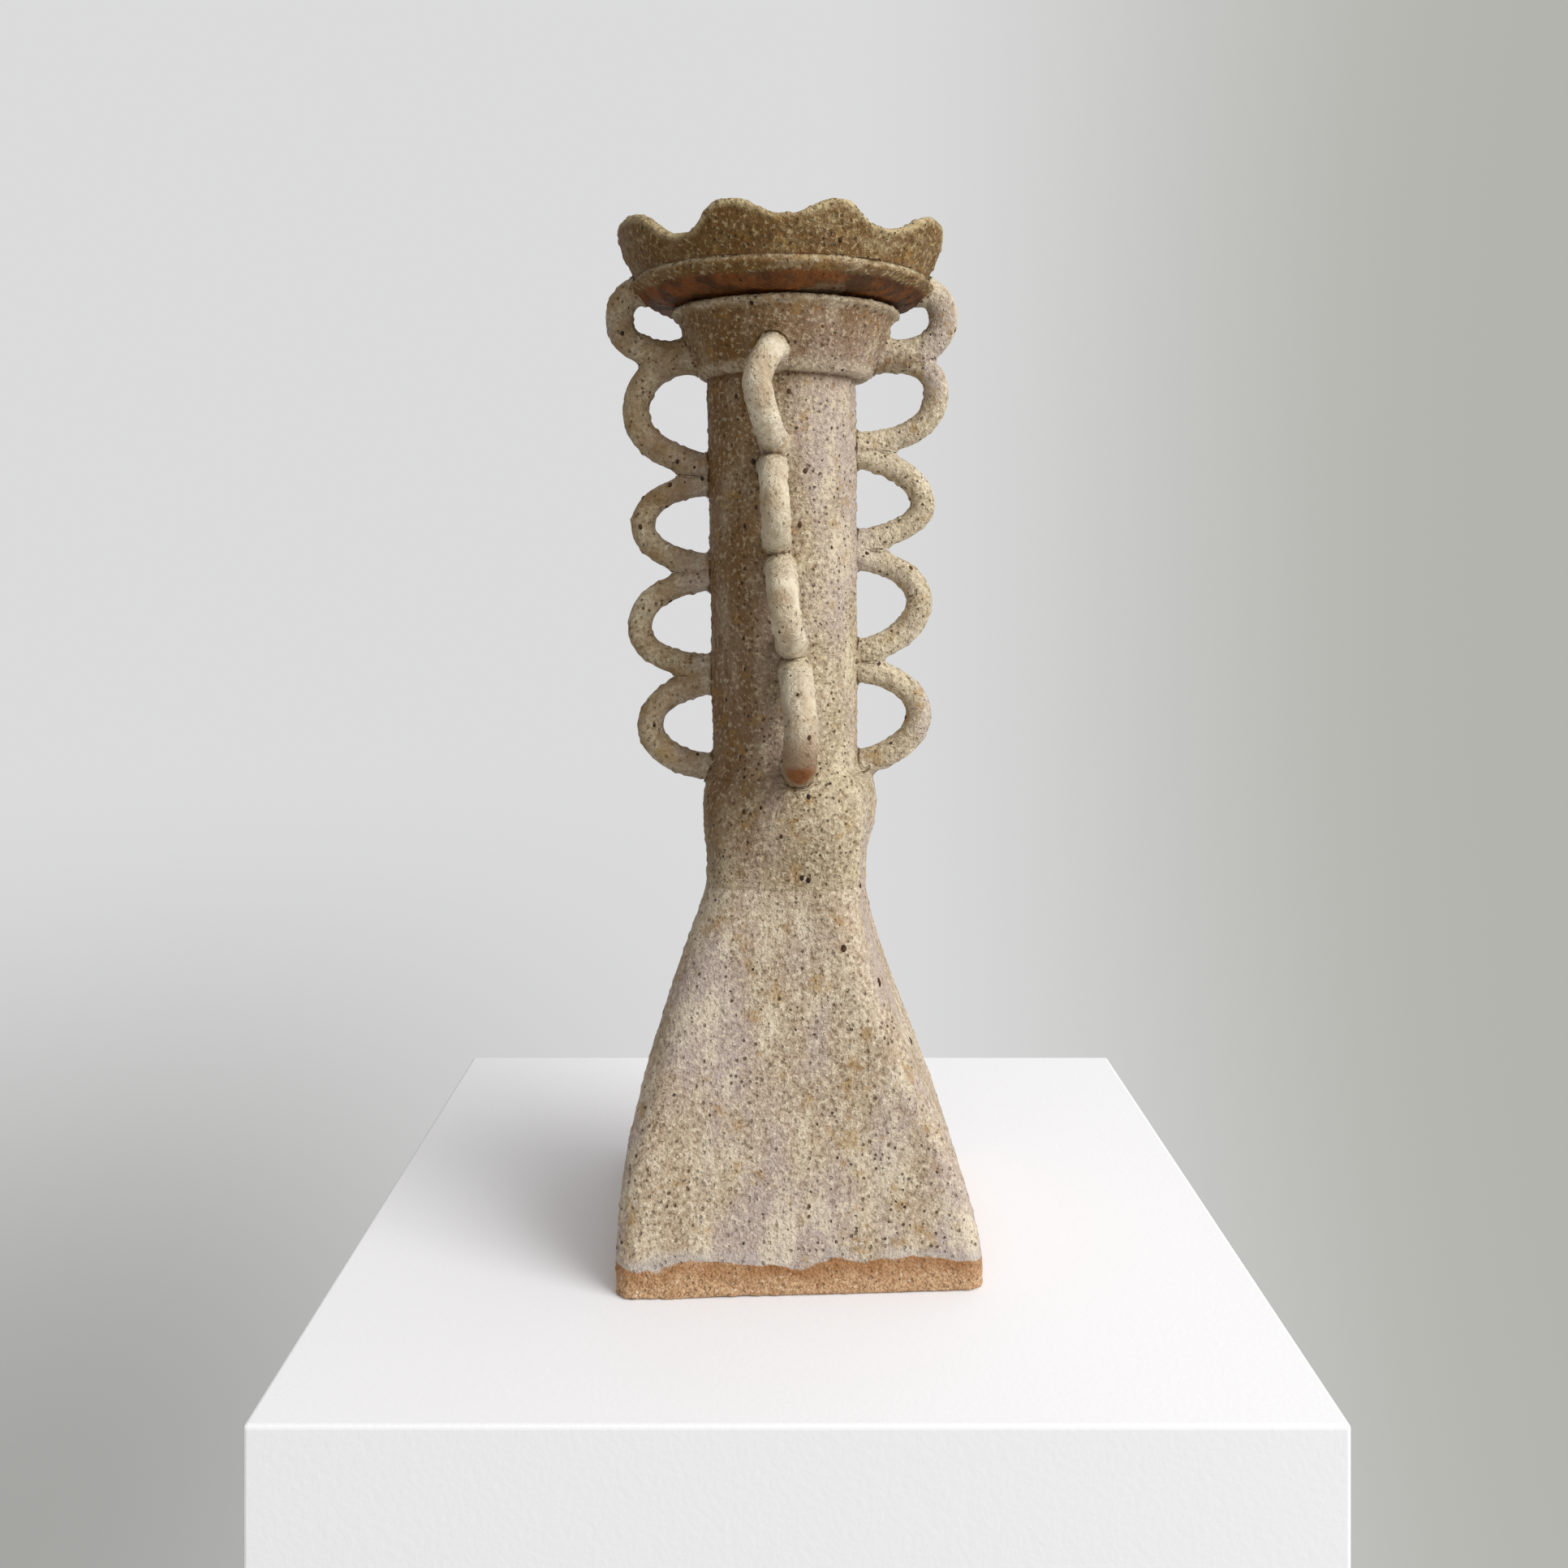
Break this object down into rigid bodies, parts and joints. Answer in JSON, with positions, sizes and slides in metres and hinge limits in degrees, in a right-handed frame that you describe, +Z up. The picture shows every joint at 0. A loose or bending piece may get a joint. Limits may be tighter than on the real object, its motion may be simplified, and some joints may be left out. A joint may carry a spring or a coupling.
{
  "type": "footed ceramic chalice",
  "caption": "Tall stoneware chalice: scalloped shallow bowl on a flared collar and a column with coil loops down its sides, over a tapering square slab foot.",
  "frame": {"origin": "on the ground under the axis of the bowl and of the column's top, within 2 mm of the middle of the underside of the whole part's box", "axes": "+Z up through the bowl, +X to the viewer's right, and the front row of loops faces -Y"},
  "size_m": [0.131, 0.1254, 0.3581],
  "materials": {
    "glazed_stoneware": "satin",
    "brown_stoneware": "satin",
    "bare_stoneware": "matte"
  },
  "bodies": {
    "root": {"foot_panel_front": "glazed_stoneware", "foot_panel_right": "glazed_stoneware", "foot_panel_back": "glazed_stoneware", "foot_panel_left": "glazed_stoneware", "knuckle": "glazed_stoneware", "column": "glazed_stoneware", "collar": "glazed_stoneware", "bowl": "brown_stoneware", "crown": "brown_stoneware", "loop_left_1": "glazed_stoneware", "loop_left_2": "glazed_stoneware", "loop_left_3": "glazed_stoneware", "loop_left_4": "glazed_stoneware", "loop_left_5": "glazed_stoneware", "loop_front_1": "glazed_stoneware", "loop_front_2": "glazed_stoneware", "loop_front_3": "glazed_stoneware", "loop_front_4": "glazed_stoneware", "loop_right_1": "glazed_stoneware", "loop_right_2": "glazed_stoneware", "loop_right_3": "glazed_stoneware", "loop_right_4": "glazed_stoneware", "loop_right_5": "glazed_stoneware", "loop_back_1": "glazed_stoneware", "loop_back_2": "glazed_stoneware", "loop_back_3": "glazed_stoneware", "loop_back_4": "glazed_stoneware"}
  },
  "joints": []
}
